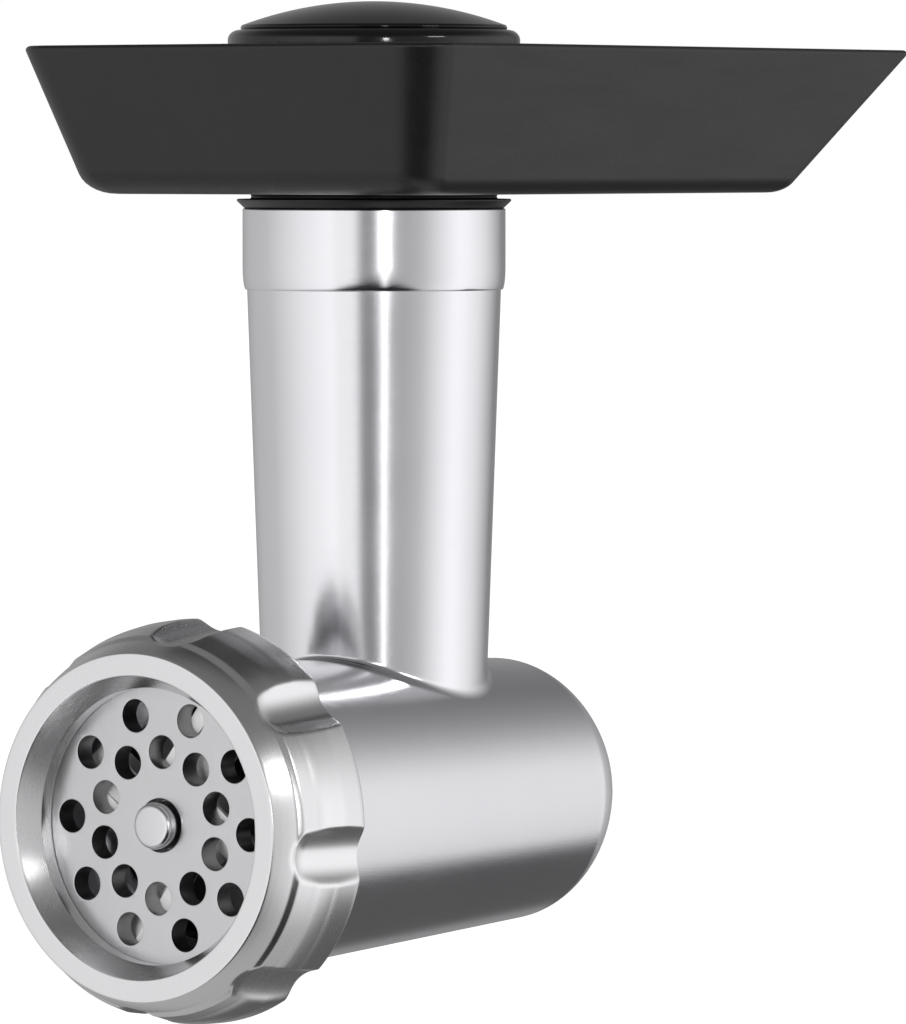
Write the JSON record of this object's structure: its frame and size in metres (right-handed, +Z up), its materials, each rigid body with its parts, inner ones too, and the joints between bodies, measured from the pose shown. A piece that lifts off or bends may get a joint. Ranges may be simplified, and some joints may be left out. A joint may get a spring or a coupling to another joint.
{
  "type": "meat grinder attachment",
  "caption": "Meat grinder head with a round feed tube, hopper tray, food pusher, auger, cross knife, hole plate, fluted screw ring and a hub spigot for a drive unit.",
  "frame": {"origin": "on the barrel axis, in the plane of the hub shoulder at the barrel's rear end", "axes": "+Y along the barrel axis out of the hub toward the drive unit, so the outlet faces -Y; +Z up, parallel to the feed tube, whose axis is 5.2 mm to the -X side; +X to the right seen from the outlet"},
  "size_m": [0.1146, 0.2222, 0.2186],
  "materials": {
    "cast_metal": "satin brushed",
    "ring_metal": "satin turned",
    "worm_metal": "as cast",
    "plate_steel": "fine ground",
    "steel": "ground",
    "bronze": "sintered",
    "seal_rubber": "moulded",
    "white_plastic": "machined",
    "black_plastic": "moulded",
    "tray_plastic": "satin moulded",
    "gloss_black": "gloss moulded"
  },
  "bodies": {
    "grinder_body": {"housing": "cast_metal", "tube_collar": "cast_metal", "plate_key": "steel", "hub_adapter": "black_plastic", "adapter_gasket": "seal_rubber", "adapter_screws": "steel", "locating_pin": "steel", "rear_bush": "bronze", "shaft_seal": "seal_rubber", "thrust_washer": "white_plastic"},
    "worm_shaft": {"worm": "worm_metal", "worm_stud": "steel", "knife": "steel", "drive_coupling": "black_plastic", "coupling_washer": "steel", "coupling_screw": "steel"},
    "plate": {"hole_plate": "plate_steel"},
    "ring": {"screw_ring": "ring_metal"},
    "tray": {"feed_tray": "tray_plastic"},
    "pusher": {"pusher_shaft": "gloss_black", "pusher_stop": "gloss_black", "pusher_head": "gloss_black", "pusher_cap": "gloss_black"}
  },
  "joints": [
    {"name": "worm_spin", "type": "hinge", "parent": "grinder_body", "child": "worm_shaft", "pos_m": [0, 0, 0], "axis": [0, 1, 0], "continuous": true},
    {"name": "plate_slide", "type": "slide", "parent": "grinder_body", "child": "plate", "axis": [0, -1, 0], "range_m": [0, 0.012]},
    {"name": "ring_turn", "type": "hinge", "parent": "plate", "child": "ring", "pos_m": [0, -0.124, 0], "axis": [0, -1, 0], "range_deg": [0, 900]},
    {"name": "tray_lift", "type": "slide", "parent": "grinder_body", "child": "tray", "axis": [0, 0, 1], "range_m": [0, 0.05]},
    {"name": "pusher_lift", "type": "slide", "parent": "tray", "child": "pusher", "axis": [0, 0, 1], "range_m": [0, 0.135]}
  ],
  "couplings": [
    {"joint": "plate_slide", "follows": "ring_turn", "m_per_rad": 0.00063662}
  ]
}
